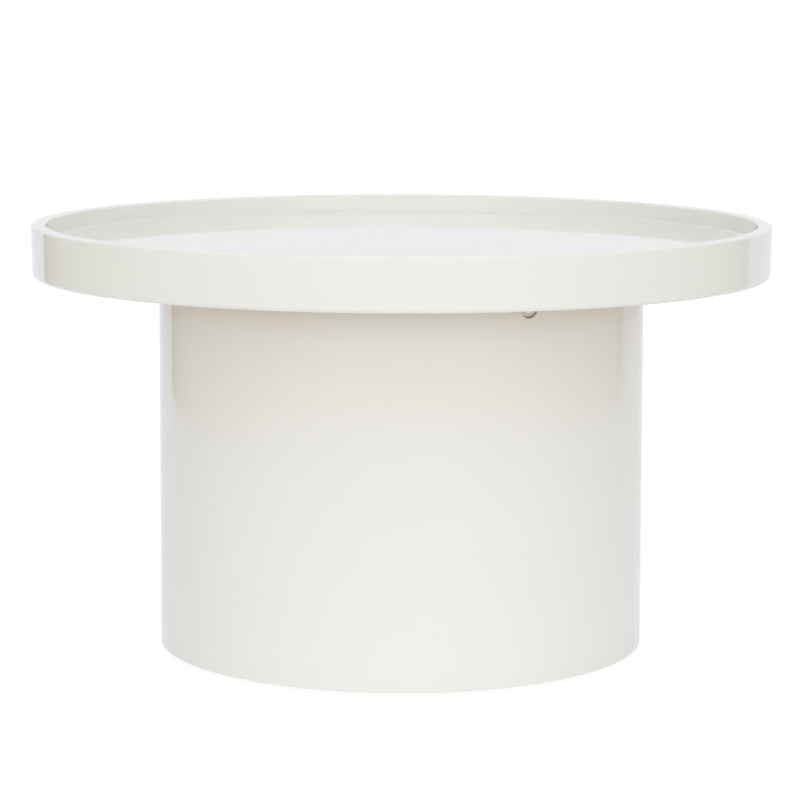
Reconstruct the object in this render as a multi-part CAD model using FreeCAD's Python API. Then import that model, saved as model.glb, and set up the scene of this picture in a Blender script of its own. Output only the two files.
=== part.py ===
import FreeCAD, Part
import math
import os

# Round coffee table: a shallow lacquered tray fixed on a hollow lacquered drum.
# Millimetres. Z is up, the origin is on the floor under the middle, and the front is towards -Y.
# Angles are in degrees, counted from the front towards the right.

# The whole table
table_diameter = 700.0
table_height = 404.0  # floor to the top of the rim
drum_diameter = 460.0
floor_gap = 3.0  # the drum's lower edge stands this high on its glides
lip_chamfer = 1.0  # on the drum's lower outer edge

# Tray: a hoop, a structural board glued into it from below and a gloss panel laid in from above
tray_height = 48.5
rim_width = 14.0
rim_depth = 17.5  # rim top down to the flat
rim_draft = 1.2  # the wall leans in by this much at its foot
rim_foot_radius = 4.0
rim_outer_edge_radius = 2.5
rim_inner_edge_radius = 1.6
rebate = 3.0  # step in the hoop that the board is pushed up against
panel_thickness = 9.5
panel_chamfer = 0.6
glue_gap = 0.15

# Drum wall: a saw-kerfed core bent round the frame, and a thin skin laid over it for the lacquer
skin_thickness = 4.0
core_thickness = 9.0
kerf_count = 72
kerf_width = 2.5
kerf_depth = 6.5
seam_gap = 1.0

# Drum frame: three rings with a hand hole through each, and six battens, the widest behind the seam
ring_width = 68.0
shelf_thickness = 18.0
middle_ring_thickness = 15.0
bottom_ring_thickness = 18.0
bottom_ring_recess = 14.0  # up from the drum's lower edge
batten_width = 40.0
seam_batten_width = 80.0
batten_depth = 20.0
batten_edge_radius = 3.0
notch_clearance = 0.2
batten_count = 6
seam_angle = 180.0

# Spigot: a ring under the tray that drops into the drum and takes three radial bolts
spigot_thickness = 30.0
spigot_clearance = 0.3
spigot_lead_in = 2.0  # chamfer that guides it into the drum
fixing_count = 3
fixing_angle = 29.5
fixing_drop = 11.6  # from the tray's underside down to the bolts
fixing_hole_diameter = 18.0  # through the skin only, round the bolt's washer
bolt_hole_diameter = 7.0  # through the core
bolt_diameter = 6.0
bolt_length = 25.0
bolt_head_diameter = 10.5
bolt_head_height = 3.3
bolt_head_chamfer = 1.8
bolt_socket_flats = 4.0
bolt_socket_depth = 1.8
washer_diameter = 16.0
washer_thickness = 1.2
washer_bore_clearance = 0.2
insert_diameter = 10.0
insert_length = 15.0
insert_recess = 0.5
thread_clearance = 0.05
bolt_tip_room = 2.0

# Countersunk wood screws
screw_diameter = 4.0
screw_head_diameter = 8.0
screw_tip_length = 4.0
frame_screw_length = 40.0
spigot_screw_length = 45.0
spigot_screw_count = 6
screw_clearance = 0.1

# Levelling glides: a tee nut in the bottom ring, a threaded stem and a swivelling foot
glide_inset = 40.0  # from the drum's outside to the stem's middle
glide_places = ("front_right", "back_right", "back_left", "front_left")
first_glide_angle = 45.0
glide_travel_out = 10.0
stem_diameter = 8.0
stem_neck_diameter = 10.0
stem_flange_diameter = 16.0
stem_flange_thickness = 2.0
stem_nut_flats = 13.0
stem_nut_height = 4.0
stem_tip_chamfer = 0.8
stem_slot_width = 1.4
stem_slot_depth = 2.0
foot_diameter = 34.0
foot_height = 7.0
foot_floor = 2.0  # under the stem's flange
foot_chamfer = 2.0
foot_pocket_clearance = 0.5
foot_pocket_lift = 0.1
sole_diameter = 31.0
sole_thickness = 2.0
tee_nut_flange_diameter = 22.0
tee_nut_flange_thickness = 1.5
tee_nut_barrel_diameter = 10.4
tee_nut_barrel_length = 12.0
tee_nut_clearance = 0.1

# How far a cutting shape runs past the face that it cuts
overrun = 5.0

# Levels, from the floor up
drum_bottom = floor_gap
tray_bottom = table_height - tray_height
flat_level = table_height - rim_depth
board_top = flat_level - panel_thickness
spigot_bottom = tray_bottom - spigot_thickness
shelf_bottom = spigot_bottom - shelf_thickness
bottom_ring_level = drum_bottom + bottom_ring_recess
batten_bottom = bottom_ring_level + bottom_ring_thickness
batten_length = shelf_bottom - batten_bottom
middle_ring_level = (batten_bottom + shelf_bottom - middle_ring_thickness) / 2
fixing_level = tray_bottom - fixing_drop
tee_nut_top = batten_bottom + tee_nut_flange_thickness
foot_top = sole_thickness + foot_height
flange_bottom = sole_thickness + foot_floor
stem_top = tee_nut_top + glide_travel_out

# Radii, from the outside in
table_radius = table_diameter / 2
rim_inside = table_radius - rim_width
board_seat = rim_inside + rebate
drum_radius = drum_diameter / 2
core_outside = drum_radius - skin_thickness
core_inside = core_outside - core_thickness
spigot_radius = core_inside - spigot_clearance
bolt_seat = core_outside + washer_thickness
ring_inside = core_inside - ring_width
batten_middle = core_inside - batten_depth / 2
spigot_screw_circle = (ring_inside + spigot_radius) / 2
glide_radius = drum_radius - glide_inset

full_turn = 360.0
quarter_turn = 90.0
origin = FreeCAD.Vector(0, 0, 0)
up = FreeCAD.Vector(0, 0, 1)
outward = FreeCAD.Vector(1, 0, 0)


def rounded_outline(corners):
    """A closed wire in the XZ plane through corners (x, z, radius), with a tangent arc at each radius."""
    points = [FreeCAD.Vector(x, 0, z) for x, z, radius in corners]
    following = points[1:] + points[:1]
    stretches = []
    for index, (corner, after) in enumerate(zip(points, following)):
        radius = corners[index][2]
        back = (points[index - 1] - corner).normalize()
        onward = (after - corner).normalize()
        if radius == 0:
            stretches.append((corner, corner, corner))
            continue
        half_angle = back.getAngle(onward) / 2
        reach = radius / math.tan(half_angle)
        inward = (back + onward).normalize()
        centre = corner + inward * (radius / math.sin(half_angle))
        stretches.append((corner + back * reach, centre - inward * radius, corner + onward * reach))
    edges = []
    for (start, middle, end), (next_start, _, _) in zip(stretches, stretches[1:] + stretches[:1]):
        if start != end:
            edges.append(Part.Arc(start, middle, end).toShape())
        edges.append(Part.LineSegment(end, next_start).toShape())
    return Part.Wire(edges)


def turned_solid(corners):
    """The solid that an outline of (radius, height, rounding) sweeps round the Z axis."""
    face = Part.Face(rounded_outline(corners))
    return face.revolve(origin, up, full_turn)


def flat_ring(outer_radius, inner_radius, bottom, thickness):
    """A plain ring with square edges."""
    top = bottom + thickness
    return turned_solid(
        [
            (inner_radius, bottom, 0),
            (outer_radius, bottom, 0),
            (outer_radius, top, 0),
            (inner_radius, top, 0),
        ]
    )


def hexagon(flats, bottom, height):
    """A six-sided bar on the Z axis, measured across its flats."""
    corner_radius = flats / math.sqrt(3)
    points = []
    for side in range(7):
        angle = math.radians(side * full_turn / 6)
        across, along = corner_radius * math.cos(angle), corner_radius * math.sin(angle)
        points.append(FreeCAD.Vector(across, along, bottom))
    return Part.Face(Part.makePolygon(points)).extrude(up * height)


def moved(shape, x, z):
    """A copy carried out along X and up along Z."""
    copy = shape.copy()
    copy.translate(FreeCAD.Vector(x, 0, z))
    return copy


def turned_to(shape, angle):
    """A copy of a shape made on the +X side, turned to an angle from the front."""
    copy = shape.copy()
    copy.rotate(origin, up, angle - quarter_turn)
    return copy


def laid_outward(shape):
    """A copy of a shape made on the Z axis, laid down so that its top points outwards along X."""
    copy = shape.copy()
    copy.rotate(origin, FreeCAD.Vector(0, 1, 0), quarter_turn)
    return copy


def spread(shape, angles):
    """A group with one copy of a shape at each angle."""
    return Part.makeCompound([turned_to(shape, angle) for angle in angles])


def fixing_angles():
    """Where the three radial bolts stand."""
    return [fixing_angle + index * full_turn / fixing_count for index in range(fixing_count)]


def spigot_screw_angles():
    """The spigot's screws stand midway between the radial bolts and opposite them."""
    step = full_turn / spigot_screw_count
    return [fixing_angle + (index + 0.5) * step for index in range(spigot_screw_count)]


def batten_angles():
    """Every batten, the seam's one first."""
    return [seam_angle + index * full_turn / batten_count for index in range(batten_count)]


def glide_angles():
    """Where the four glides stand."""
    step = full_turn / len(glide_places)
    return [first_glide_angle + index * step for index in range(len(glide_places))]


def wood_screw(length, gap=0):
    """A countersunk screw with its head's face at height zero and its point down, grown by a gap."""
    shank = screw_diameter / 2 + gap
    head = screw_head_diameter / 2 + gap
    taper = head - shank
    return turned_solid(
        [
            (0, 0, 0),
            (head, 0, 0),
            (shank, -taper, 0),
            (shank, screw_tip_length - length - gap, 0),
            (0, -length - gap, 0),
        ]
    )


def screw_hole(length):
    """What a wood screw's hole removes, run past the face that its head is sunk in."""
    mouth = Part.makeCylinder(screw_head_diameter / 2 + screw_clearance, overrun)
    return wood_screw(length, screw_clearance).fuse(mouth)


def pointing_up(shape):
    """A copy turned over, for a screw that is driven from below."""
    copy = shape.copy()
    copy.rotate(origin, outward, 2 * quarter_turn)
    return copy


def tray_rim():
    """Hoop of the tray: leaning outer wall, rounded foot, flat top and a rebate for the board."""
    return turned_solid(
        [
            (board_seat, tray_bottom, 0),
            (table_radius - rim_draft, tray_bottom, rim_foot_radius),
            (table_radius, table_height, rim_outer_edge_radius),
            (rim_inside, table_height, rim_inner_edge_radius),
            (rim_inside, board_top, 0),
            (board_seat, board_top, 0),
        ]
    )


def tray_panel():
    """Gloss panel that makes the flat of the tray."""
    edge = rim_inside - glue_gap
    return turned_solid(
        [
            (0, board_top, 0),
            (edge, board_top, 0),
            (edge, flat_level - panel_chamfer, 0),
            (edge - panel_chamfer, flat_level, 0),
            (0, flat_level, 0),
        ]
    )


def tray_base_board():
    """Structural board, seated against the hoop's rebate and drilled for the spigot's screws."""
    thickness = board_top - tray_bottom
    board = moved(Part.makeCylinder(board_seat - glue_gap, thickness), 0, tray_bottom)
    return board.cut(spread(placed_spigot_screw(screw_clearance), spigot_screw_angles()))


def placed_spigot_screw(gap=0):
    """A spigot screw in its place on the +X side, driven up from the spigot's underside."""
    return moved(pointing_up(wood_screw(spigot_screw_length, gap)), spigot_screw_circle, spigot_bottom)


def tray_spigot():
    """Ring under the tray with a lead-in chamfer, screw holes and three blind holes in its edge."""
    foot = spigot_radius - spigot_lead_in
    top = tray_bottom
    ring = turned_solid(
        [
            (ring_inside, spigot_bottom, 0),
            (foot, spigot_bottom, 0),
            (spigot_radius, spigot_bottom + spigot_lead_in, 0),
            (spigot_radius, top, 0),
            (ring_inside, top, 0),
        ]
    )
    screw_tool = moved(pointing_up(screw_hole(spigot_screw_length)), spigot_screw_circle, spigot_bottom)
    return ring.cut(spread(screw_tool, spigot_screw_angles())).cut(spread(insert_hole(), fixing_angles()))


def insert_hole():
    """Blind hole in the spigot's edge for a threaded insert and the bolt's tip."""
    depth = spigot_radius - bolt_seat + bolt_length + bolt_tip_room
    tool = Part.makeCylinder(insert_diameter / 2 + screw_clearance, depth + overrun)
    return moved(laid_outward(tool), spigot_radius - depth, fixing_level)


def fixing_insert():
    """Threaded insert just under the surface of the spigot's edge."""
    bore = bolt_diameter / 2 + thread_clearance
    sleeve = flat_ring(insert_diameter / 2, bore, 0, insert_length)
    return moved(laid_outward(sleeve), spigot_radius - insert_recess - insert_length, fixing_level)


def fixing_washer():
    """Washer that bears on the core inside the hole of the skin."""
    bore = bolt_diameter / 2 + washer_bore_clearance
    disc = flat_ring(washer_diameter / 2, bore, 0, washer_thickness)
    return moved(laid_outward(disc), core_outside, fixing_level)


def fixing_bolt():
    """Button-head bolt with a hexagon socket, pointing inwards."""
    shank = bolt_diameter / 2
    head = bolt_head_diameter / 2
    body = turned_solid(
        [
            (0, -bolt_length, 0),
            (shank, -bolt_length, 0),
            (shank, 0, 0),
            (head, 0, 0),
            (head, bolt_head_height - bolt_head_chamfer, 0),
            (head - bolt_head_chamfer, bolt_head_height, 0),
            (0, bolt_head_height, 0),
        ]
    )
    socket = hexagon(bolt_socket_flats, bolt_head_height - bolt_socket_depth, bolt_socket_depth + overrun)
    return moved(laid_outward(body.cut(socket)), bolt_seat, fixing_level)


def wall_holes(diameter):
    """Three holes of one diameter through the drum wall, in line with the bolts."""
    tool = Part.makeCylinder(diameter / 2, skin_thickness + core_thickness + 2 * overrun)
    return spread(moved(laid_outward(tool), core_inside - overrun, fixing_level), fixing_angles())


def drum_skin():
    """Smooth outer layer of the drum wall."""
    shell = turned_solid(
        [
            (core_outside, drum_bottom, 0),
            (drum_radius - lip_chamfer, drum_bottom, 0),
            (drum_radius, drum_bottom + lip_chamfer, 0),
            (drum_radius, tray_bottom, 0),
            (core_outside, tray_bottom, 0),
        ]
    )
    return shell.cut(wall_holes(fixing_hole_diameter))


def drum_core():
    """Bent core: upright saw kerfs all round its inner side, open at the seam where its ends meet."""
    height = tray_bottom - drum_bottom
    shell = flat_ring(core_outside, core_inside, drum_bottom, height)
    cut_bottom = FreeCAD.Vector(core_inside - overrun, -kerf_width / 2, drum_bottom - overrun)
    kerf = Part.makeBox(overrun + kerf_depth, kerf_width, height + 2 * overrun, cut_bottom)
    step = full_turn / kerf_count
    kerfs = spread(kerf, [fixing_angle + (index + 0.5) * step for index in range(kerf_count)])
    seam_corner = FreeCAD.Vector(core_inside - overrun, -seam_gap / 2, drum_bottom - overrun)
    seam = Part.makeBox(core_thickness + 2 * overrun, seam_gap, height + 2 * overrun, seam_corner)
    return shell.cut(kerfs).cut(turned_to(seam, seam_angle)).cut(wall_holes(bolt_hole_diameter))


def batten(width):
    """Upright batten on the +X side, its back shaped to the drum wall."""
    inner_face = core_inside - batten_depth
    start = FreeCAD.Vector(inner_face, -width / 2, batten_bottom)
    block = Part.makeBox(batten_depth + overrun, width, batten_length, start)
    inner_edges = [
        edge
        for edge in block.Edges
        if edge.BoundBox.XMax < inner_face + batten_depth / 2 and edge.BoundBox.ZLength > batten_length / 2
    ]
    wall = Part.makeCylinder(core_inside, batten_length, FreeCAD.Vector(0, 0, batten_bottom))
    return block.makeFillet(batten_edge_radius, inner_edges).common(wall)


def drilled_batten(width):
    """A batten with the holes of the screws that hold it at its foot and at its top."""
    foot_screw, top_screw = batten_screws(screw_clearance)
    return batten(width).cut(foot_screw).cut(top_screw)


def batten_screws(gap=0):
    """The screw up through the bottom ring and the one down through the shelf, on the +X side."""
    foot_screw = moved(pointing_up(wood_screw(frame_screw_length, gap)), batten_middle, bottom_ring_level)
    top_screw = moved(wood_screw(frame_screw_length, gap), batten_middle, spigot_bottom)
    return foot_screw, top_screw


def drum_top_ring():
    """Shelf ring inside the drum: the tray's spigot stands on it."""
    ring = flat_ring(core_inside, ring_inside, shelf_bottom, shelf_thickness)
    tool = moved(screw_hole(frame_screw_length), batten_middle, spigot_bottom)
    return ring.cut(spread(tool, batten_angles()))


def drum_middle_ring():
    """Stiffening ring, notched round the battens."""
    ring = flat_ring(core_inside, ring_inside, middle_ring_level, middle_ring_thickness)
    seam_notch = turned_to(notch(seam_batten_width), seam_angle)
    return ring.cut(seam_notch).cut(spread(notch(batten_width), batten_angles()[1:]))


def notch(width):
    """What the middle ring loses for one batten."""
    inner_face = core_inside - batten_depth - notch_clearance
    half_width = width / 2 + notch_clearance
    start = FreeCAD.Vector(inner_face, -half_width, middle_ring_level - overrun)
    depth = batten_depth + notch_clearance + overrun
    return Part.makeBox(depth, 2 * half_width, middle_ring_thickness + 2 * overrun, start)


def drum_bottom_ring():
    """Ring that carries the glides, recessed into the foot of the drum."""
    ring = flat_ring(core_inside, ring_inside, bottom_ring_level, bottom_ring_thickness)
    screw_tool = moved(pointing_up(screw_hole(frame_screw_length)), batten_middle, bottom_ring_level)
    hole_radius = tee_nut_barrel_diameter / 2 + tee_nut_clearance
    hole_start = FreeCAD.Vector(glide_radius, 0, bottom_ring_level - overrun)
    nut_tool = Part.makeCylinder(hole_radius, bottom_ring_thickness + 2 * overrun, hole_start)
    return ring.cut(spread(screw_tool, batten_angles())).cut(spread(nut_tool, glide_angles()))


def glide_tee_nut():
    """Flanged nut dropped into the bottom ring from above."""
    bore = stem_diameter / 2 + thread_clearance
    barrel = tee_nut_barrel_diameter / 2
    flange = tee_nut_flange_diameter / 2
    barrel_bottom = batten_bottom - tee_nut_barrel_length
    nut = turned_solid(
        [
            (bore, barrel_bottom, 0),
            (barrel, barrel_bottom, 0),
            (barrel, batten_bottom, 0),
            (flange, batten_bottom, 0),
            (flange, tee_nut_top, 0),
            (bore, tee_nut_top, 0),
        ]
    )
    return moved(nut, glide_radius, 0)


def glide_stem():
    """Threaded stem: captive flange, neck, six-sided collar for a spanner and a slotted tip."""
    rod = stem_diameter / 2
    neck = stem_neck_diameter / 2
    flange = stem_flange_diameter / 2
    flange_top = flange_bottom + stem_flange_thickness
    body = turned_solid(
        [
            (0, flange_bottom, 0),
            (flange, flange_bottom, 0),
            (flange, flange_top, 0),
            (neck, flange_top, 0),
            (neck, foot_top + stem_nut_height / 2, 0),
            (rod, foot_top + stem_nut_height / 2, 0),
            (rod, stem_top - stem_tip_chamfer, 0),
            (rod - stem_tip_chamfer, stem_top, 0),
            (0, stem_top, 0),
        ]
    )
    collar = hexagon(stem_nut_flats, foot_top, stem_nut_height)
    slot_corner = FreeCAD.Vector(-stem_diameter, -stem_slot_width / 2, stem_top - stem_slot_depth)
    slot = Part.makeBox(2 * stem_diameter, stem_slot_width, stem_slot_depth + overrun, slot_corner)
    return moved(body.fuse(collar).cut(slot).removeSplitter(), glide_radius, 0)


def glide_foot():
    """Round foot moulded over the stem's flange, so that it swivels but stays on."""
    neck = stem_neck_diameter / 2 + thread_clearance
    pocket = stem_flange_diameter / 2 + foot_pocket_clearance
    pocket_top = flange_bottom + stem_flange_thickness + foot_pocket_lift
    outside = foot_diameter / 2
    foot = turned_solid(
        [
            (0, sole_thickness, 0),
            (outside, sole_thickness, 0),
            (outside, foot_top - foot_chamfer, 0),
            (outside - foot_chamfer, foot_top, 0),
            (neck, foot_top, 0),
            (neck, pocket_top, 0),
            (pocket, pocket_top, 0),
            (pocket, flange_bottom, 0),
            (0, flange_bottom, 0),
        ]
    )
    return moved(foot, glide_radius, 0)


def glide_sole():
    """Felt disc under the foot."""
    return moved(Part.makeCylinder(sole_diameter / 2, sole_thickness), glide_radius, 0)


def build():
    """Every piece of the table by name."""
    foot_screw, top_screw = batten_screws()
    pieces = {
        "tray_rim": tray_rim(),
        "tray_panel": tray_panel(),
        "tray_base_board": tray_base_board(),
        "tray_spigot": tray_spigot(),
        "spigot_screws": spread(placed_spigot_screw(), spigot_screw_angles()),
        "fixing_inserts": spread(fixing_insert(), fixing_angles()),
        "fixing_washers": spread(fixing_washer(), fixing_angles()),
        "fixing_bolts": spread(fixing_bolt(), fixing_angles()),
        "drum_skin": drum_skin(),
        "drum_core": drum_core(),
        "drum_top_ring": drum_top_ring(),
        "drum_middle_ring": drum_middle_ring(),
        "drum_bottom_ring": drum_bottom_ring(),
        "seam_batten": turned_to(drilled_batten(seam_batten_width), seam_angle),
        "top_ring_screws": spread(top_screw, batten_angles()),
        "bottom_ring_screws": spread(foot_screw, batten_angles()),
        "glide_tee_nuts": spread(glide_tee_nut(), glide_angles()),
    }
    for number, angle in enumerate(batten_angles()[1:], 1):
        pieces[f"batten_{number}"] = turned_to(drilled_batten(batten_width), angle)
    for place, angle in zip(glide_places, glide_angles()):
        pieces[f"{place}_glide_stem"] = turned_to(glide_stem(), angle)
        pieces[f"{place}_glide_foot"] = turned_to(glide_foot(), angle)
        pieces[f"{place}_glide_sole"] = turned_to(glide_sole(), angle)
    return pieces


def main():
    os.makedirs("parts", exist_ok=True)
    for name, shape in build().items():
        shape.exportStep(f"parts/{name}.step")
        state = "valid" if shape.isValid() else "NOT VALID"
        print(name, len(shape.Solids), "solids", round(shape.Volume), "mm3", state)


main()
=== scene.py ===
# %% [markdown]
# Round coffee table, dressed for its picture.
# A shallow tray stands on a wide hollow drum, and both wear the same gloss ivory lacquer.
# The CAD model brings every piece in metres, in its true place. This lesson gives the lacquered pieces
# soft edges and a real gloss, makes the threads and cross recesses that the CAD leaves out, and lights the
# whole.

# %% Load the packed model
import math

import bmesh
import bpy
from mathutils import Matrix, Vector


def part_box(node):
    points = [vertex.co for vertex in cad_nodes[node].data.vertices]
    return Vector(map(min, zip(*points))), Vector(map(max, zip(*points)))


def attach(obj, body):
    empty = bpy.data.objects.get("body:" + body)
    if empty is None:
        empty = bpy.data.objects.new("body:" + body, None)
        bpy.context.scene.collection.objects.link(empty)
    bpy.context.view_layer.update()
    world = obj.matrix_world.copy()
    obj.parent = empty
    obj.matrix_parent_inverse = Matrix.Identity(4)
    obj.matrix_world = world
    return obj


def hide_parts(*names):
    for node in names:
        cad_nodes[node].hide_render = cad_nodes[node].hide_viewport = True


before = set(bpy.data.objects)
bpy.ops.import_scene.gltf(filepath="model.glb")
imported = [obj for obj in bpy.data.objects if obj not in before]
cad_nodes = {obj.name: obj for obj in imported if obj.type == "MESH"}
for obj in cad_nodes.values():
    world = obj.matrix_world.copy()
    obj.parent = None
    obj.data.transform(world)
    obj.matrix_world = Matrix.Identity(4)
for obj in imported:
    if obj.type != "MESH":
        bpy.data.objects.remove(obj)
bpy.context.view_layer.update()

# %% [markdown]
# Measure before making. Each lacquered piece stands where its CAD node stands, so its outline is read from
# that node's box, and only the roundings, holes and small fittings need numbers of their own.

# %% Sizes in metres
rim_low, rim_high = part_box("tray_rim")
flat_low, flat_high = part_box("tray_panel")
wall_low, wall_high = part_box("drum_skin")
core_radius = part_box("drum_core")[1].x

table_radius = rim_high.x
table_top = rim_high.z
tray_bottom = rim_low.z
flat_level = flat_high.z
board_top = flat_low.z
glue_gap = 0.00015
rebate = 0.003
rim_inside = flat_high.x + glue_gap
board_seat = rim_inside + rebate
rim_draft = 0.0012
drum_radius = wall_high.x
drum_bottom = wall_low.z
core_thickness = 0.009
hole_under_tray = 0.0116
fixing_level = tray_bottom - hole_under_tray
fixing_hole = 0.018
fixing_turns = (29.5, 149.5, 269.5)
main_sizes = {"tray radius": table_radius, "rim inside": rim_inside, "drum radius": drum_radius}
print({label: round(size, 4) for label, size in main_sizes.items()})

# %% [markdown]
# A finish is a small graph of nodes. Writing it as sums and products is far easier to read than a list of
# nodes and wires, so one class wraps a socket and turns Python's operators into Math nodes. The reflected
# forms let a plain number stand first, as in 1 - mask.

# %% Shader maths as plain expressions


class Wire:
    """A socket that can be added, subtracted, multiplied and divided."""

    def __init__(self, finish, socket):
        self.finish = finish
        self.socket = socket

    def with_other(self, operation, first, second):
        return self.finish.node("ShaderNodeMath", {"operation": operation}, {0: first, 1: second})

    def __add__(self, other):
        return self.with_other("ADD", self, other)

    def __sub__(self, other):
        return self.with_other("SUBTRACT", self, other)

    def __rsub__(self, other):
        return self.with_other("SUBTRACT", other, self)

    def __mul__(self, other):
        return self.with_other("MULTIPLY", self, other)

    def __truediv__(self, other):
        return self.with_other("DIVIDE", self, other)

    __radd__ = __add__
    __rmul__ = __mul__


print("operators: + - * /")

# %% [markdown]
# The second class holds a material, or the world. One method adds any node from its type, its settings and
# what goes into its sockets. The others are the few steps that every finish here is made of: a place on the
# piece, a noise, a mix of two colours, a share between two values, a bump, and the shader that closes it.

# %% A finish whose nodes are made by calls


class Finish:
    """A material, or the world, whose nodes are made by calls."""

    def __init__(self, name, tree=None):
        if tree is None:
            self.material = bpy.data.materials.new(name)
            self.material.use_nodes = True
            tree = self.material.node_tree
        self.tree = tree
        self.tree.nodes.clear()

    def node(self, kind, settings=None, sockets=None, output=0):
        made = self.tree.nodes.new(kind)
        for key, value in (settings or {}).items():
            if key == "stops":
                ramp = made.color_ramp
                while len(ramp.elements) < len(value):
                    ramp.elements.new(1.0)
                for element, (place, colour) in zip(ramp.elements, value):
                    element.position = place
                    element.color = (*colour, 1.0)
            else:
                setattr(made, key, value)
        for key, value in (sockets or {}).items():
            if isinstance(value, Wire):
                self.tree.links.new(value.socket, made.inputs[key])
            else:
                made.inputs[key].default_value = value
        return Wire(self, made.outputs[output])

    def place(self, stretch=(1, 1, 1)):
        """Object coordinates, stretched."""
        coordinates = self.node("ShaderNodeTexCoord", output="Object")
        return self.node("ShaderNodeMapping", {}, {"Vector": coordinates, "Scale": stretch})

    def one_axis(self, where, axis):
        """One of the three numbers of a place or direction."""
        return self.node("ShaderNodeSeparateXYZ", {}, {"Vector": where}, output=axis)

    def length(self, where):
        return self.node("ShaderNodeVectorMath", {"operation": "LENGTH"}, {0: where}, output="Value")

    def noise(self, where, scale, detail=2.0, roughness=0.5, distortion=0.0):
        sockets = {
            "Vector": where, "Scale": scale, "Detail": detail,
            "Roughness": roughness, "Distortion": distortion,
        }
        return self.node("ShaderNodeTexNoise", {}, sockets)

    def ramp(self, value, stops):
        return self.node("ShaderNodeValToRGB", {"stops": stops}, {"Fac": value})

    def mixed(self, factor, first, second):
        """A colour between two. Sockets 0, 6 and 7 are the Mix node's factor and its two colours."""
        settings = {"data_type": "RGBA", "clamp_factor": True}
        sockets = {0: factor, 6: first if isinstance(first, Wire) else (*first, 1.0)}
        sockets[7] = second if isinstance(second, Wire) else (*second, 1.0)
        return self.node("ShaderNodeMix", settings, sockets, output=2)

    def between(self, value, low, high):
        """The value's share of the way from low to high, kept within 0 and 1."""
        return self.node("ShaderNodeMapRange", {}, {"Value": value, "From Min": low, "From Max": high})

    def bump(self, height, depth):
        return self.node("ShaderNodeBump", {}, {"Height": height, "Distance": depth})

    def surface(self, **sockets):
        """Closes the material with its shader. Socket names are written with underscores."""
        named = {key.replace("_", " "): value for key, value in sockets.items()}
        self.close(self.node("ShaderNodeBsdfPrincipled", {}, named))
        return self.material

    def close(self, shader, kind="ShaderNodeOutputMaterial"):
        output = self.tree.nodes.new(kind)
        self.tree.links.new(shader.socket, output.inputs["Surface"])


print("steps of a finish:", [step for step in vars(Finish) if not step.startswith("_")])

# %% [markdown]
# The lacquer is several sprayed coats of ivory colour, cut back and polished. A plain gloss shader looks like
# wet plastic, because a real coat is never quite level: it has orange peel a few millimetres across and a few
# thousandths of a millimetre deep, a slow waviness left by sanding, and a shade that drifts a little where
# the spray was thicker. All three are here, and so weak that they show only in the reflections.

# %% Gloss lacquer


def lacquer(name, colour, roughness, peel):
    """Gloss paint. Its peel is the depth of its orange peel in metres."""
    finish = Finish(name)
    where = finish.place()
    cloud = finish.noise(where, 3.1, 2.0)
    mottle = finish.noise(where, 46.0, 3.0)
    darker = tuple(channel * 0.985 for channel in colour)
    warmer = (colour[0], colour[1] * 0.995, colour[2] * 0.985)
    tint = finish.mixed(finish.between(cloud, 0.35, 0.65), darker, colour)
    tint = finish.mixed(finish.between(mottle, 0.3, 0.9) * 0.5, tint, warmer)
    haze = finish.noise(where, 7.0, 4.0, 0.6)
    grain = finish.noise(where, 230.0, 1.0, 0.4)
    wave = finish.noise(where, 17.0, 1.0, 0.3)
    return finish.surface(
        Base_Color=tint,
        Roughness=roughness + finish.between(haze, 0.3, 0.8) * (roughness * 0.6),
        IOR=1.5,
        Normal=finish.bump(grain + wave * 6.0, peel),
    )


ivory = (0.835, 0.838, 0.81)
rim_lacquer = lacquer("gloss_ivory_rim", ivory, roughness=0.035, peel=0.0000022)
flat_lacquer = lacquer("gloss_ivory_flat", ivory, roughness=0.02, peel=0.0000012)
drum_lacquer = lacquer("gloss_ivory_drum", ivory, roughness=0.045, peel=0.0000026)
print("lacquers:", rim_lacquer.name, flat_lacquer.name, drum_lacquer.name)

# %% [markdown]
# Every turned piece is made the way a turner thinks of it: a few corners of its section, spun once round the
# axis, and each corner that has a rounding bevelled as a ring. Spinning first and bevelling afterwards keeps
# the list of corners short, and lets each rounding be changed by one number.

# %% A piece turned from its section
merged_within = 0.000002
same_ring_within = 0.00001


def corner_reach(corners, index):
    """How far a rounding starts from its corner, along the two sides that meet there."""
    x, z, rounding = corners[index]
    following = corners[(index + 1) % len(corners)]
    back = Vector((corners[index - 1][0] - x, corners[index - 1][1] - z))
    ahead = Vector((following[0] - x, following[1] - z))
    return rounding / math.tan(back.angle(ahead) / 2)


def on_ring(vertex, radius, height):
    distance = math.hypot(vertex.co.x, vertex.co.y)
    return abs(distance - radius) < same_ring_within and abs(vertex.co.z - height) < same_ring_within


def turned(corners, steps, arc_steps=8):
    """A bmesh spun from (radius, height, rounding) corners, with its roundings bevelled."""
    form = bmesh.new()
    points = [form.verts.new((radius, 0, height)) for radius, height, rounding in corners]
    for index, point in enumerate(points):
        following = (index + 1) % len(points)
        if corners[index][0] > 0 or corners[following][0] > 0:
            form.edges.new((point, points[following]))
    bmesh.ops.spin(
        form, geom=form.verts[:] + form.edges[:], cent=(0, 0, 0), axis=(0, 0, 1),
        angle=math.tau, steps=steps, use_merge=True,
    )
    bmesh.ops.remove_doubles(form, verts=form.verts, dist=merged_within)
    bmesh.ops.recalc_face_normals(form, faces=form.faces)
    for index, (radius, height, rounding) in enumerate(corners):
        if rounding:
            ring = [edge for edge in form.edges if all(on_ring(end, radius, height) for end in edge.verts)]
            bmesh.ops.bevel(
                form, geom=ring, offset=corner_reach(corners, index), offset_type="OFFSET", affect="EDGES",
                segments=arc_steps, profile=0.5, material=-1, clamp_overlap=True,
            )
    return form


print("points closer than", merged_within, "m are merged")

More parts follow.
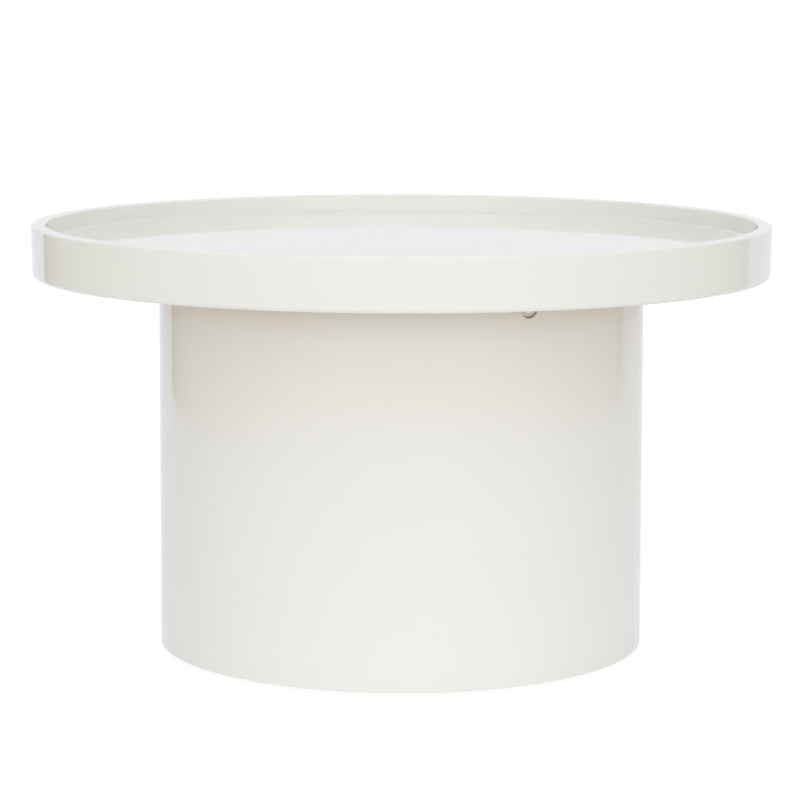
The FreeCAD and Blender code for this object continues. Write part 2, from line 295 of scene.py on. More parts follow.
# %% [markdown]
# A bmesh is a workbench, and not yet a thing in the scene. On its way there a piece is smoothed, but its
# sharp edges are kept: a rounding should shade as one soft curve, and a sawn edge should stay crisp. Then it
# gets its material, it is hung on the body it rides on, and the CAD nodes it stands for are hidden.

# %% From a bmesh to a piece
sharp_from = math.radians(35)


def mesh_from(form, name):
    """Turns a bmesh into a mesh and frees it."""
    mesh = bpy.data.meshes.new(name)
    form.to_mesh(mesh)
    form.free()
    return mesh


def in_scene(name, data):
    """Puts a mesh or a camera into the scene as an object."""
    made = bpy.data.objects.new(name, data)
    bpy.context.scene.collection.objects.link(made)
    return made


def piece_from(form, name, material, stands_for, body="root"):
    """Makes the object, smooths it with its sharp edges kept, hangs it on its body and hides what it stands
    for.
    """
    for face in form.faces:
        face.smooth = True
    for edge in form.edges:
        edge.smooth = len(edge.link_faces) == 2 and edge.calc_face_angle(0) < sharp_from
    piece = in_scene(name, mesh_from(form, name))
    piece.data.materials.append(material)
    weighted = piece.modifiers.new("even shading", "WEIGHTED_NORMAL")
    weighted.keep_sharp = True
    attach(piece, body)
    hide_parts(*stands_for)
    print(name, len(piece.data.polygons), "faces")


print("edges stay sharp from", round(math.degrees(sharp_from)), "degrees")

# %% [markdown]
# The rim is the piece that the eye meets first. On the real table it is a hoop of board, shaped on a spindle
# moulder and then lacquered thickly, so that every edge is eased: the foot by four millimetres, the top ones
# by about two. Its wall leans in towards the foot by a little more than a millimetre.

# %% Rim of the tray
wide_steps = 512
foot_rounding, outer_rounding, inner_rounding = 0.004, 0.0025, 0.0016
rim_corners = [
    (board_seat, tray_bottom, 0),
    (table_radius - rim_draft, tray_bottom, foot_rounding),
    (table_radius, table_top, outer_rounding),
    (rim_inside, table_top, inner_rounding),
    (rim_inside, board_top, 0),
    (board_seat, board_top, 0),
]
piece_from(turned(rim_corners, steps=wide_steps), "tray_hoop", rim_lacquer, ["tray_rim"])

# %% [markdown]
# The flat is a separate panel laid inside the rim, polished until it mirrors the wall behind it. On the real
# tray the joint is filled and sprayed over, so the lacquer turns up into the rim in a small hollow and
# no gap shows. So the panel's outline ends in a hollow arc, drawn up to a feather edge against the rim.

# %% Flat of the tray
feather = 0.00002
hollow_radius = 0.0025
flat_edge = rim_inside - feather
feather_top = flat_level + hollow_radius + feather
flat_corners = [
    (0, board_top, 0),
    (flat_edge, board_top, 0),
    (flat_edge, feather_top, 0),
    (flat_edge - feather, feather_top, 0),
    (flat_edge - feather, flat_level, hollow_radius),
    (0, flat_level, 0),
]
piece_from(turned(flat_corners, steps=wide_steps), "tray_flat", flat_lacquer, ["tray_panel"])

# %% [markdown]
# A hole is easiest to make as its opposite: a solid tool in the hole's shape, taken out with a Boolean, as a
# drill would take it. The same tool or bolt is wanted at several places round the drum, and such a place is a
# turn from the front, a distance from the axis and a height.

# %% Cutting and copying


def cut_with(form, tool_form):
    """Takes one bmesh out of another with a Boolean and returns the rest as a bmesh."""
    work = in_scene("work", mesh_from(form, "work"))
    tool = in_scene("tool", mesh_from(tool_form, "tool"))
    cut = work.modifiers.new("cut", "BOOLEAN")
    cut.operation = "DIFFERENCE"
    cut.solver = "EXACT"
    cut.object = tool
    bpy.context.view_layer.update()
    shown = work.evaluated_get(bpy.context.evaluated_depsgraph_get())
    rest = bpy.data.meshes.new_from_object(shown)
    left = bmesh.new()
    left.from_mesh(rest)
    bpy.data.meshes.remove(rest)
    bpy.data.objects.remove(tool)
    bpy.data.objects.remove(work)
    return left


def outward_place(turn, distance, level):
    """Carries a shape on the Z axis to a turn from the front, lying with its top outwards."""
    lie_down = Matrix.Rotation(math.radians(90), 4, "Y")
    round_table = Matrix.Rotation(math.radians(turn - 90), 4, "Z")
    return round_table @ Matrix.Translation((distance, 0, level)) @ lie_down


def repeated(form, places):
    """One bmesh with a copy of a form at each place."""
    group = bmesh.new()
    mesh = mesh_from(form, "one")
    for place in places:
        copied = mesh.copy()
        copied.transform(place)
        group.from_mesh(copied)
        bpy.data.meshes.remove(copied)
    bpy.data.meshes.remove(mesh)
    return group


print("holes and bolts at turns", fixing_turns)

# %% [markdown]
# The drum's skin is a thin bending board wrapped round a kerfed core. Its three holes bare the core where the
# bolts of the tray bear on it, and one of them shows just under the tray. The Boolean leaves long faces that
# shade badly, so the wall first gets a few extra rings below the holes. The lacquer rounds the lip of each
# hole, which catches a thin line of light. So the tool isn't a plain bar: it flares at the surface.

# %% Drum wall
lip = 0.0007
lip_steps = 6
tool_reach = 0.006
hole_radius = fixing_hole / 2
hole_corners = [(0, -tool_reach, 0), (hole_radius, -tool_reach, 0)]
for step in range(lip_steps + 1):
    angle = math.radians(90 * step / lip_steps)
    hole_corners.append((hole_radius + lip * (1 - math.cos(angle)), lip * (math.sin(angle) - 1), 0))
hole_corners += [(hole_radius + lip, tool_reach, 0), (0, tool_reach, 0)]
hole_places = [outward_place(turn, drum_radius, fixing_level) for turn in fixing_turns]
hole_tool = repeated(turned(hole_corners, steps=96), hole_places)

foot_edge = 0.001
rings_under_holes = (0.03, 0.014, 0.0105)
rings = [fixing_level - drop for drop in rings_under_holes]
wall_corners = [(core_radius, drum_bottom, 0), (drum_radius, drum_bottom, foot_edge)]
wall_corners += [(drum_radius, level, 0) for level in rings] + [(drum_radius, wall_high.z, 0)]
wall_corners += [(core_radius, wall_high.z, 0)] + [(core_radius, level, 0) for level in reversed(rings)]
wall_form = cut_with(turned(wall_corners, steps=wide_steps, arc_steps=4), hole_tool)
piece_from(wall_form, "drum_wall", drum_lacquer, ["drum_skin"])

# %% [markdown]
# Steel fittings are zinc-plated. Zinc is bright but never a mirror: its crystals scatter the light in small
# patches, and passivation leaves a faint blue and straw cast. Brass inserts show the fine rings of the lathe.
# In the photograph what sits in the drum's hole is as pale as the drum, so the bolt is taken to be sprayed
# with it. Its finish goes from bare zinc to lacquer by the distance from the drum's axis.

# %% Metals
blue_zinc, straw_zinc = (0.66, 0.69, 0.74), (0.74, 0.72, 0.64)
bright_brass, dull_brass = (0.78, 0.57, 0.25), (0.50, 0.34, 0.15)


def plated_steel():
    finish = Finish("bright_zinc")
    where = finish.place()
    crystals = finish.node("ShaderNodeTexVoronoi", {}, {"Vector": where, "Scale": 900.0}, output="Color")
    patch = finish.node("ShaderNodeSeparateColor", {}, {"Color": crystals})
    cast = finish.noise(where, 160.0, 3.0)
    dull = finish.noise(where, 420.0, 4.0)
    return finish.surface(
        Base_Color=finish.mixed(finish.between(cast, 0.35, 0.65), blue_zinc, straw_zinc),
        Metallic=1.0,
        Roughness=0.24 + patch * 0.08 + dull * 0.12,
        Normal=finish.bump(dull, 0.00001),
    )


def turned_brass():
    finish = Finish("turned_brass")
    where = finish.place()
    lathe_rings = finish.node(
        "ShaderNodeTexWave", {"bands_direction": "Z"}, {"Vector": where, "Scale": 900.0, "Distortion": 0.5}
    )
    tarnish = finish.noise(where, 220.0, 4.0, 0.6)
    return finish.surface(
        Base_Color=finish.mixed(finish.between(tarnish, 0.4, 0.75), bright_brass, dull_brass),
        Metallic=1.0,
        Roughness=0.22 + tarnish * 0.25,
        Normal=finish.bump(lathe_rings, 0.00002),
    )


def sprayed_steel(bare_up_to, covered_from):
    """Zinc with the drum's lacquer over whatever lies farther out than the drum's core."""
    finish = Finish("sprayed_zinc")
    from_axis = finish.length(finish.place((1.0, 1.0, 0.0)))
    dust = finish.noise(finish.place(), 700.0, 3.0)
    coated = finish.between(from_axis + (dust - 0.5) * 0.0004, bare_up_to, covered_from)
    return finish.surface(
        Base_Color=finish.mixed(coated, finish.mixed(dust, blue_zinc, straw_zinc), ivory),
        Metallic=1 - coated,
        Roughness=0.32 - coated * 0.14 + dust * 0.1,
        Normal=finish.bump(dust, 0.00002),
    )


zinc = plated_steel()
brass = turned_brass()
sprayed_zinc = sprayed_steel(bare_up_to=core_radius - 0.0003, covered_from=core_radius + 0.0001)
print("metals:", zinc.name, brass.name, sprayed_zinc.name)

# %% [markdown]
# The hidden wood. Birch plywood shows broad, calm figure on its faces and thin stripes of alternating grain
# on its edges. The direction in which it was cut decides which, so the piece's own normal picks between them.

# %% Plywood


def birch_plywood():
    finish = Finish("birch_plywood")
    figure = finish.noise(finish.place((5.0, 60.0, 60.0)), 1.6, 5.0, 0.55, 0.8)
    pores = finish.noise(finish.place((40.0, 900.0, 900.0)), 1.0, 3.0)
    figure_stops = [(0.3, (0.47, 0.30, 0.165)), (0.5, (0.61, 0.43, 0.26)), (0.72, (0.70, 0.53, 0.35))]
    face = finish.ramp(figure, figure_stops)
    face = finish.mixed(finish.between(pores, 0.56, 0.75) * 0.45, face, (0.33, 0.20, 0.105))
    upright = finish.one_axis(finish.place(), "Z")
    ply_thickness = 0.0014
    ply = finish.node("ShaderNodeMath", {"operation": "PINGPONG"}, {0: upright, 1: ply_thickness})
    stripe = finish.between(ply, 0.0006, 0.0008)
    fuzz = finish.noise(finish.place((700.0, 700.0, 160.0)), 1.0, 3.0)
    edge = finish.mixed(stripe, (0.30, 0.18, 0.095), (0.63, 0.46, 0.29))
    edge = finish.mixed(finish.between(fuzz, 0.35, 0.7) * 0.4, edge, (0.45, 0.30, 0.17))
    rise = finish.one_axis(finish.node("ShaderNodeTexCoord", output="Normal"), "Z")
    flatness = finish.node("ShaderNodeMath", {"operation": "ABSOLUTE"}, {0: rise})
    return finish.surface(
        Base_Color=finish.mixed(finish.between(flatness, 0.45, 0.55), edge, face),
        Roughness=0.55 + pores * 0.25,
        Normal=finish.bump(figure * 0.4 + pores * 0.3 + stripe * 0.3, 0.00012),
    )


plywood = birch_plywood()
print("plywood:", plywood.name)

# %% [markdown]
# Board made of fibre is used where it can't be seen: the kerfed core is left raw, and the underside of the
# tray is only sealed, so it stays tan. That tan underside throws a warm light on the top of the drum.

# %% Fibre board


def fibre_board(name, light, dark, roughness):
    finish = Finish(name)
    where = finish.place()
    fibres = finish.noise(finish.place((1.0, 1.0, 0.4)), 1400.0, 4.0, 0.65)
    clumps = finish.noise(where, 160.0, 5.0, 0.6)
    cloud = finish.noise(where, 9.0, 3.0)
    tint = finish.mixed(finish.between(fibres, 0.35, 0.7), dark, light)
    clump_tint = tuple(channel * 0.62 for channel in dark)
    tint = finish.mixed(finish.between(clumps, 0.58, 0.72) * 0.5, tint, clump_tint)
    tint = finish.mixed(finish.between(cloud, 0.3, 0.7) * 0.25, tint, light)
    return finish.surface(
        Base_Color=tint,
        Roughness=roughness + fibres * 0.18,
        Normal=finish.bump(fibres + clumps * 2.0, 0.00006),
    )


raw_light, raw_dark = (0.50, 0.345, 0.205), (0.35, 0.225, 0.125)
sealed_light, sealed_dark = (0.68, 0.46, 0.25), (0.54, 0.35, 0.18)
raw_board = fibre_board("raw_fibre_board", raw_light, raw_dark, roughness=0.75)
sealed_board = fibre_board("sealed_fibre_board", sealed_light, sealed_dark, roughness=0.38)
print("boards:", raw_board.name, sealed_board.name)

# %% [markdown]
# The battens are planed pine. Its yearly rings are arcs round a heart that lies outside the batten, and on an
# upright piece they draw long lines. Shrinking the pattern's place along Z and bending it a little gives
# that figure.

# %% Pine


def planed_pine():
    finish = Finish("planed_pine")
    slow = finish.noise(finish.place((1.0, 1.0, 0.22)), 9.0, 2.0)
    year_rings = finish.node(
        "ShaderNodeTexWave",
        {"wave_type": "RINGS", "rings_direction": "Z", "wave_profile": "SAW"},
        {
            "Vector": finish.place((1.0, 1.0, 0.05)), "Scale": 48.0,
            "Distortion": 2.4, "Detail": 2.0, "Detail Scale": 1.2,
        },
    )
    streaks = finish.noise(finish.place((420.0, 420.0, 9.0)), 1.0, 4.0)
    ring_stops = [(0.0, (0.66, 0.45, 0.24)), (0.7, (0.60, 0.37, 0.17)), (1.0, (0.41, 0.21, 0.08))]
    tint = finish.ramp(year_rings, ring_stops)
    tint = finish.mixed(finish.between(streaks, 0.4, 0.75) * 0.35, tint, (0.43, 0.25, 0.11))
    tint = finish.mixed(finish.between(slow, 0.35, 0.7) * 0.3, tint, (0.72, 0.53, 0.31))
    return finish.surface(
        Base_Color=tint,
        Roughness=0.5 + streaks * 0.2,
        Normal=finish.bump(year_rings * 0.4 + streaks, 0.00009),
    )


pine = planed_pine()
print("pine:", pine.name)

# %% [markdown]
# The glides: a nylon foot with the fine, even texture of its mould, and a sole of pressed felt. Felt has no
# weave. Its fibres lie every way, so two noises of different scale tangle its colour and its surface.

# %% Nylon and felt


def moulded_nylon():
    finish = Finish("black_nylon")
    where = finish.place()
    spark = finish.noise(where, 2600.0, 3.0, 0.7)
    cloud = finish.noise(where, 120.0, 3.0)
    tint = finish.mixed(finish.between(cloud, 0.3, 0.7), (0.020, 0.020, 0.021), (0.034, 0.033, 0.032))
    return finish.surface(
        Base_Color=tint, Roughness=0.42 + spark * 0.2, Normal=finish.bump(spark, 0.00002)
    )


def pressed_felt():
    finish = Finish("pressed_felt")
    where = finish.place()
    fibres = finish.noise(where, 2300.0, 6.0, 0.75, 1.6)
    tufts = finish.noise(where, 330.0, 4.0, 0.6, 0.8)
    tint = finish.mixed(finish.between(fibres, 0.35, 0.68), (0.075, 0.068, 0.060), (0.215, 0.200, 0.180))
    tint = finish.mixed(finish.between(tufts, 0.4, 0.7) * 0.4, tint, (0.145, 0.132, 0.118))
    return finish.surface(
        Base_Color=tint, Roughness=0.97, Sheen_Weight=0.35, Sheen_Roughness=0.5,
        Normal=finish.bump(fibres + tufts * 1.5, 0.0003),
    )


nylon = moulded_nylon()
felt = pressed_felt()
print("glide finishes:", nylon.name, felt.name)

# %% [markdown]
# The bolt that shows in the drum's hole is a button-head screw: a low dome with a hexagon socket. The dome is
# one large rounding on a turned head, and the socket is a six-sided bar taken out of it.

# %% Button-head bolts


def hexagon_bar(radius, length, middle):
    """A six-sided bar on the Z axis."""
    bar = bmesh.new()
    bmesh.ops.create_cone(
        bar, cap_ends=True, segments=6, radius1=radius, radius2=radius, depth=length,
        matrix=Matrix.Translation((0, 0, middle)),
    )
    return bar


bolt_radius, bolt_length, tip_rounding = 0.003, 0.025, 0.0005
head_radius, head_height, dome_rounding, head_edge = 0.00525, 0.0033, 0.0026, 0.0002
socket_radius, socket_depth, socket_bar = 0.0023, 0.0018, 0.006
washer_thickness = 0.0012
bolt_corners = [
    (0, -bolt_length, 0),
    (bolt_radius, -bolt_length, tip_rounding),
    (bolt_radius, 0, 0),
    (head_radius, 0, head_edge),
    (head_radius, head_height, dome_rounding),
    (0, head_height, 0),
]
socket_tool = hexagon_bar(socket_radius, socket_bar, head_height - socket_depth + socket_bar / 2)
one_bolt = cut_with(turned(bolt_corners, steps=64, arc_steps=6), socket_tool)
washer_face = core_radius + washer_thickness
bolt_places = [outward_place(turn, washer_face, fixing_level) for turn in fixing_turns]
piece_from(repeated(one_bolt, bolt_places), "button_head_bolts", sprayed_zinc, ["fixing_bolts"])

# %% [markdown]
# Wood screws hold the bottom ring to the battens, and are the fittings that show when the table is turned
# over. A countersunk head is a turned cone. Its cross recess is two thin tapered bars, set at right angles.
# They are cut one after the other, because a Boolean's tool that crosses itself can leave nothing.

# %% Countersunk screws under the drum


def box_bar(size):
    """A box round the origin, and its corner points."""
    form = bmesh.new()
    points = bmesh.ops.create_cube(form, size=1.0)["verts"]
    bmesh.ops.scale(form, vec=size, verts=points)
    return form, points


screw_count = 6
screw_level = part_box("bottom_ring_screws")[0].z
batten_half_depth = 0.010
screw_circle = core_radius - core_thickness - batten_half_depth
screw_length, screw_tip = 0.04, 0.004
screw_head, screw_shank, cone_depth, screw_edge = 0.004, 0.002, 0.002, 0.0002
recess_size, recess_taper = (0.0042, 0.0008, 0.004), (0.3, 0.7, 1.0)
screw_corners = [
    (0, 0, 0),
    (screw_head, 0, screw_edge),
    (screw_shank, -cone_depth, 0),
    (screw_shank, screw_tip - screw_length, 0),
    (0, -screw_length, 0),
]
one_screw = turned(screw_corners, steps=32, arc_steps=2)
for bar_turn in (0, 90):
    recess_tool, bar_points = box_bar(recess_size)
    lower = [point for point in bar_points if point.co.z < 0]
    bmesh.ops.scale(recess_tool, vec=recess_taper, verts=lower)
    crossing = Matrix.Rotation(math.radians(bar_turn), 3, "Z")
    bmesh.ops.rotate(recess_tool, cent=(0, 0, 0), matrix=crossing, verts=bar_points)
    one_screw = cut_with(one_screw, recess_tool)

head_down = Matrix.Translation((screw_circle, 0, screw_level)) @ Matrix.Rotation(math.pi, 4, "X")
screw_turns = [360 / screw_count * index + 90 for index in range(screw_count)]
screw_places = [Matrix.Rotation(math.radians(turn), 4, "Z") @ head_down for turn in screw_turns]
screws_form = repeated(one_screw, screw_places)
piece_from(screws_form, "bottom_ring_cross_screws", zinc, ["bottom_ring_screws"])

# %% [markdown]
# Each levelling glide turns on a threaded stem. Its rod ends below in a plate that the foot holds, and above
# in a tip with a sawn slot, for a screwdriver from inside the drum. The rod is as thick as the thread's root,
# because the thread itself comes next.

# %% Rod of the stem
root_radius = 0.0034
plate_radius, plate_low, plate_high, plate_edge = 0.008, 0.004, 0.006, 0.0003
neck_radius, collar_middle = 0.005, 0.011
stem_top, stem_tip_rounding = 0.0465, 0.0006
slot_size, slot_floor = (0.016, 0.0014, 0.008), 0.0445
stem_corners = [
    (0, plate_low, 0),
    (plate_radius, plate_low, plate_edge),
    (plate_radius, plate_high, plate_edge),
    (neck_radius, plate_high, 0),
    (neck_radius, collar_middle, 0),
    (root_radius, collar_middle, 0),
    (root_radius, stem_top, stem_tip_rounding),
    (0, stem_top, 0),
]
slot_tool, slot_points = box_bar(slot_size)
bmesh.ops.translate(slot_tool, vec=(0, 0, slot_floor + slot_size[2] / 2), verts=slot_points)
stem_form = cut_with(turned(stem_corners, steps=48, arc_steps=3), slot_tool)
print("stem:", len(stem_form.faces), "faces")

# %% [markdown]
# The thread is a real one. A small wedge is carried round and up by spin's dvec, 1.25 millimetres a turn, and
# its two ends are closed. It starts a little inside the rod, so no gap shows at its root.

# %% Thread
thread_pitch, thread_foot, thread_top = 0.00125, 0.0132, 0.0437
crest_radius = 0.004
wedge_sunk, wedge_half_root, wedge_half_crest = 0.0001, 0.00055, 0.0001
steps_a_turn = 32
thread_turns = round((thread_top - thread_foot) / thread_pitch)
thread = bmesh.new()
wedge = [
    (root_radius - wedge_sunk, -wedge_half_root),
    (crest_radius, -wedge_half_crest),
    (crest_radius, wedge_half_crest),
    (root_radius - wedge_sunk, wedge_half_root),
]
wedge_points = [thread.verts.new((radius, 0, thread_foot + height)) for radius, height in wedge]
wedge_edges = [thread.edges.new((wedge_points[i], wedge_points[(i + 1) % 4])) for i in range(4)]
swept = bmesh.ops.spin(
    thread, geom=wedge_points + wedge_edges, cent=(0, 0, 0), axis=(0, 0, 1),
    dvec=(0, 0, thread_pitch / steps_a_turn), angle=math.tau * thread_turns,
    steps=steps_a_turn * thread_turns, use_merge=False,
)
last_edges = [part for part in swept["geom_last"] if isinstance(part, bmesh.types.BMEdge)]
bmesh.ops.holes_fill(thread, edges=wedge_edges + last_edges, sides=4)
bmesh.ops.recalc_face_normals(thread, faces=thread.faces)
print("thread turns:", thread_turns)

# %% [markdown]
# The collar is what a spanner grips: a six-sided bar with its edges eased. It and the thread join the rod's
# bmesh, so a stem is one piece.

# %% Collar
collar_radius, collar_height, collar_edge = 0.0075, 0.004, 0.0003
collar = hexagon_bar(collar_radius, collar_height, collar_middle)
bmesh.ops.bevel(
    collar, geom=collar.edges[:], offset=collar_edge, offset_type="OFFSET", affect="EDGES", segments=2,
    profile=0.5, material=-1, clamp_overlap=True,
)
for part in (thread, collar):
    joined = mesh_from(part, "part")
    stem_form.from_mesh(joined)
    bpy.data.meshes.remove(joined)
print("stem with thread and collar:", len(stem_form.faces), "faces")

# %% [markdown]
# The four glides stand at the corners of a square, each named for where it stands. One stem and one foot are
# made, and each place gets its own copy, because each rides on its own moving body: the stem turns, and
# the foot goes up and down with it without turning.

# %% Glides in their places
glide_circle = 0.190
glide_turns = {"front_right": 45, "back_right": 135, "back_left": 225, "front_left": 315}
foot_radius, foot_low, foot_high = 0.017, 0.002, 0.009
foot_low_rounding, foot_high_rounding, mouth_rounding = 0.0008, 0.0028, 0.0004
mouth_radius, pocket_radius, pocket_top = 0.00505, 0.0085, 0.0061
foot_corners = [
    (0, foot_low, 0),
    (foot_radius, foot_low, foot_low_rounding),
    (foot_radius, foot_high, foot_high_rounding),
    (mouth_radius, foot_high, mouth_rounding),
    (mouth_radius, pocket_top, 0),
    (pocket_radius, pocket_top, 0),
    (pocket_radius, plate_low, 0),
    (0, plate_low, 0),
]
stem_mesh = mesh_from(stem_form, "stem")
foot_mesh = mesh_from(turned(foot_corners, steps=96, arc_steps=5), "foot")
for place, turn in glide_turns.items():
    there = Matrix.Rotation(math.radians(turn - 90), 4, "Z") @ Matrix.Translation((glide_circle, 0, 0))
    for mesh, name, finish, part, slot in (
        (stem_mesh, "threaded_stem", zinc, "stem", "zinc_steel"),
        (foot_mesh, "nylon_foot", nylon, "foot", "black_nylon"),
    ):
        copied = bmesh.new()
        copied.from_mesh(mesh)
        bmesh.ops.transform(copied, matrix=there, verts=copied.verts)
        piece_from(copied, f"{place}_{name}", finish, [f"{place}_glide_{part}"], f"{place}_{part}")

# %% [markdown]
# The rest of the frame keeps its CAD shape, which is already right: rings, battens, kerfed core, inserts and
# washers. Each gets the finish of what it is made of.

# %% Finishes for the CAD nodes
node_finishes = {
    "tray_base_board": sealed_board,
    "tray_spigot": plywood,
    "spigot_screws": zinc,
    "fixing_inserts": brass,
    "fixing_washers": sprayed_zinc,
    "drum_core": raw_board,
    "drum_top_ring": plywood,
    "drum_middle_ring": plywood,
    "drum_bottom_ring": plywood,
    "seam_batten": pine,
    "top_ring_screws": zinc,
    "glide_tee_nuts": zinc,
}
for number in range(1, 6):
    node_finishes[f"batten_{number}"] = pine
for place in glide_turns:
    node_finishes[f"{place}_glide_sole"] = felt
for name, finish in node_finishes.items():
    for slot in cad_nodes[name].material_slots:
        slot.material = finish
print("CAD nodes dressed:", len(node_finishes))

# %% [markdown]
# The studio is the plain one that such a table is photographed in: a white floor that runs on into a white
# background, and soft light from above and in front. The floor is one flat sheet, far wider than the picture.

# %% Floor
floor_half = 14.0
floor_form = bmesh.new()
bmesh.ops.create_grid(floor_form, x_segments=2, y_segments=2, size=floor_half)
floor = in_scene("studio_floor", mesh_from(floor_form, "studio_floor"))
print("floor:", floor_half * 2, "m across")

# %% [markdown]
# The floor glows white for the eye. For reflections it is a shade below white, with a painted shadow of the
# table: darker near the drum, a little paler farther out. It keeps a share of plain white paint, so the table
# still leaves its shadow. Round the table it also sends up a weak, slightly blue light of its own that fades
# out with the distance from the drum. In the photograph the drum's foot is lit that way: it is as pale as the
# drum's middle, and cooler.

# %% Finish of the floor


def ray_kind(finish, name):
    return finish.node("ShaderNodeLightPath", output=name)


def glow(finish, colour, strength):
    """Emission. The colour is a plain one or one that nodes make."""
    shown_colour = colour if isinstance(colour, Wire) else (*colour, 1.0)
    return finish.node("ShaderNodeEmission", {}, {"Color": shown_colour, "Strength": strength})


def blended(finish, share, first, second):
    return finish.node("ShaderNodeMixShader", {}, {0: share, 1: first, 2: second})


white = (1.0, 1.0, 1.0)
floor_white = 1.06
paint_dark, paint_pale, paint_share = (0.80, 0.80, 0.79), (0.83, 0.83, 0.82), 0.12
# The mirrored floor is darker near the drum: a painted shadow of the table, seen only in reflections.
mirrored_painted_shadow, mirrored_far = (0.86, 0.90, 0.96), (0.91, 0.955, 1.03)
painted_shadow_full_within, painted_shadow_gone_at = 0.5, 2.5
floor_lit = 0.24
floor_tint = (0.90, 0.95, 1.10)
pool_edge, pool_core = 0.9, 0.3
paper = Finish("white_paper")
on_floor = paper.place()
distance = paper.length(on_floor)
grain = paper.noise(on_floor, 60.0, 3.0)
paint = paper.node("ShaderNodeBsdfDiffuse", {}, {"Color": paper.mixed(grain, paint_dark, paint_pale)})
pool = glow(paper, floor_tint, floor_lit * paper.between(distance, pool_edge, pool_core))
lit_paint = paper.node("ShaderNodeAddShader", {}, {0: paint, 1: pool})
# Painted shadow: the mirrored tone goes from the dark near colour to the pale far one with the distance from
# the drum.
mirrored_tone_with_painted_shadow = paper.mixed(paper.between(distance, painted_shadow_full_within, painted_shadow_gone_at), mirrored_painted_shadow, mirrored_far)
unshown = blended(paper, ray_kind(paper, "Is Glossy Ray"), lit_paint, glow(paper, mirrored_tone_with_painted_shadow, 1.0))
shown = blended(paper, paint_share, glow(paper, white, floor_white), paint)
paper.close(blended(paper, ray_kind(paper, "Is Camera Ray"), unshown, shown))
floor.data.materials.append(paper.material)
print("floor's finish:", paper.material.name)

# %% [markdown]
# Gloss is only as good as what it reflects. In the photograph the limbs of the drum and the tray carry a
# narrow bright strip with a crisp inner edge: the white background, seen at a grazing angle, up to where a
# darker part of the room begins. Two flags stand there, a little way off the floor. A flag is a
# photographer's card that is mirrored and that holds light back, but stays out of the picture.

# %% Side flags


def flag(name, back, front, foot_level, height):
    """An upright card over the line from its back corner to its front corner."""
    form = bmesh.new()
    foot = [form.verts.new((*corner, foot_level)) for corner in (back, front)]
    base = form.edges.new(foot)
    raised = bmesh.ops.extrude_edge_only(form, edges=[base])["geom"]
    tops = [part for part in raised if isinstance(part, bmesh.types.BMVert)]
    bmesh.ops.translate(form, vec=(0, 0, height), verts=tops)
    card = in_scene(name, mesh_from(form, name))
    card.visible_camera = False
    return card


flag_foot, flag_height = 0.05, 2.6
left_back, left_front = (-1.155, 1.0), (-1.45, -2.2)
right_back, right_front = (1.335, 0.8), (1.6, -2.2)
left_flag = flag("left_flag", left_back, left_front, flag_foot, flag_height)
right_flag = flag("right_flag", right_back, right_front, flag_foot, flag_height)
print("flags:", left_flag.name, right_flag.name)

# %% [markdown]
# The flags are beige, like what the lacquer mirrors beside those strips. They are darkest along their back
# edge, which draws the crisp line, and grow paler towards the front, where they hold light back from the
# sides. Above the tray's height a mirrored ray passes through them, so their outline doesn't show as a wedge
# in the tray's flat when the table is seen from the back.

# %% Finish of the flags
dark_edge, pale_from = 1.0, 0.4
pale_beige, dark_beige = (0.86, 0.83, 0.77), (0.38, 0.345, 0.28)
mirrored_up_to, clear_from = 0.45, 0.65
beige = Finish("beige_wall")
on_card = beige.place()
wall_cloud = beige.noise(on_card, 1.3, 2.0)
edge_share = beige.between(beige.one_axis(on_card, "Y"), pale_from, dark_edge)
wall_tint = beige.mixed(edge_share * 0.9 + wall_cloud * 0.1, pale_beige, dark_beige)
beige_paint = beige.node("ShaderNodeBsdfPrincipled", {}, {"Base Color": wall_tint, "Roughness": 0.9})
clear_share = beige.between(beige.one_axis(on_card, "Z"), mirrored_up_to, clear_from)
unseen = ray_kind(beige, "Is Glossy Ray") * clear_share
beige.close(blended(beige, unseen, beige_paint, beige.node("ShaderNodeBsdfTransparent")))
for card in (left_flag, right_flag):
    card.data.materials.append(beige.material)
print("flags' finish:", beige.material.name)

# %% [markdown]
# The light of this studio comes from whole walls and not from lamps: there isn't one hard shadow on the
# table, and the back of the tray is as bright as its front. So the world itself is the light. It is brighter
# towards the camera's side, in a broad warm band just over the ground, and a little brighter overhead, where
# it is cooler. What the lacquer mirrors is the backdrop, a shade below the white that the eye sees, with a
# narrower piece of the same band: the tray's flat throws it on to the back of the rim.

# %% World
ambient_level = 0.80
ambient_colour = (0.955, 0.975, 1.0)
glow_power = {"low": 3.0, "top": 0.36}
glow_colours = {"low": (1.0, 0.965, 0.925), "top": (0.95, 0.97, 0.97)}
mirrored_backdrop = (0.885, 0.905, 0.945)
band_middle, mirrored_middle, mirrored_reach = 0.17, 0.11, 0.05
world = bpy.data.worlds.new("studio")
world.use_nodes = True
bpy.context.scene.world = world
sky = Finish("studio", world.node_tree)


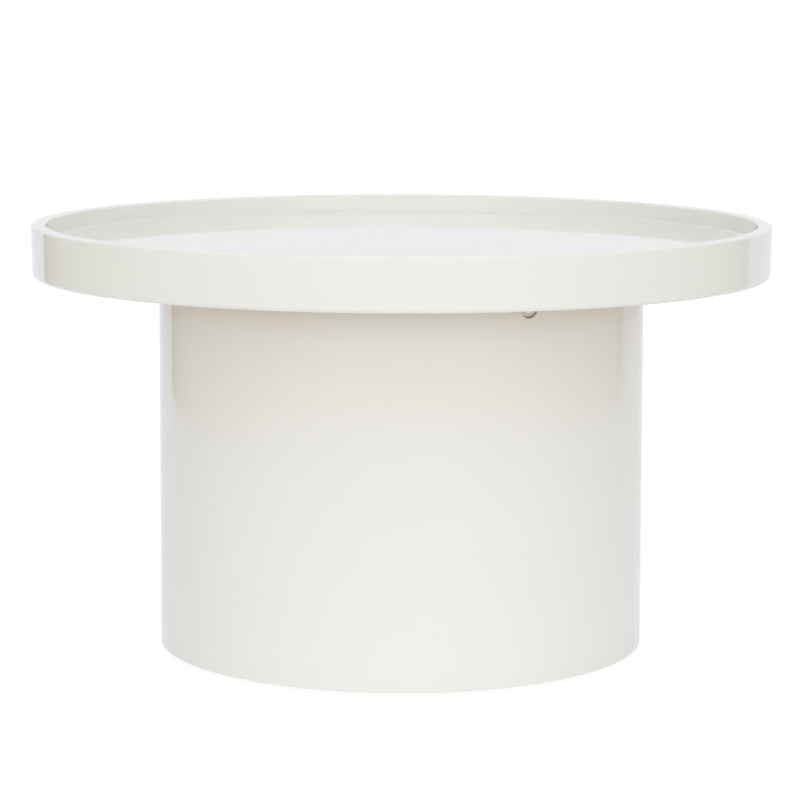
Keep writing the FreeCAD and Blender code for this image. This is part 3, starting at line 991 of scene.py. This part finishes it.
def backdrop(colour, strength):
    return sky.node("ShaderNodeBackground", {}, {"Color": (*colour, 1.0), "Strength": strength})


outlook = sky.node("ShaderNodeTexCoord", output="Generated")
steepness = sky.one_axis(outlook, "Z")
forward = sky.between(-1 * sky.one_axis(outlook, "Y"), 0.0, 1.0)
overhead = sky.between(steepness, 0.0, 1.0)
mirrored_share = ray_kind(sky, "Is Glossy Ray")


def band(middle, reach):
    """A soft belt round the horizon, brightest at its middle steepness."""
    away = (steepness - middle) / reach
    return sky.between(1 - away * away, 0.0, 1.0)


lighting_band = band(band_middle, band_middle) * (1 - mirrored_share)
low_band = lighting_band + band(mirrored_middle, mirrored_reach) * mirrored_share
glow_spreads = {"low": forward * low_band, "top": overhead * overhead}
room = blended(sky, mirrored_share, backdrop(ambient_colour, ambient_level), backdrop(mirrored_backdrop, 1.0))
for name, spread in glow_spreads.items():
    glowing = backdrop(glow_colours[name], spread * glow_power[name])
    room = sky.node("ShaderNodeAddShader", {}, {0: room, 1: glowing})
shown_sky = blended(sky, ray_kind(sky, "Is Camera Ray"), room, backdrop(white, 1.0))
sky.close(shown_sky, "ShaderNodeOutputWorld")
print("world glows:", list(glow_power))

# %% [markdown]
# The camera was fitted to the photograph's outline: a long lens, 2.8 metres away, that looks down by six
# degrees and leans by an eighth of a degree. The fit puts the lens's axis above the picture's middle, as in a
# picture that was cropped, so the lens is shifted a little downwards.

# %% Camera
camera_data = bpy.data.cameras.new("camera")
camera_data.lens = 132.59
camera_data.sensor_width = 36.0
camera_data.shift_y = -0.125
camera = in_scene("camera", camera_data)
camera.location = (-0.0066, -2.7920, 0.6375)
camera_down, camera_right, camera_leant = math.radians(6.3088), math.radians(0.1081), math.radians(0.1343)
aim = Matrix.Rotation(-camera_right, 3, "Z") @ Matrix.Rotation(math.radians(90) - camera_down, 3, "X")
camera.rotation_euler = (aim @ Matrix.Rotation(camera_leant, 3, "Z")).to_euler()
bpy.context.scene.camera = camera
bpy.context.scene.view_settings.view_transform = "Standard"
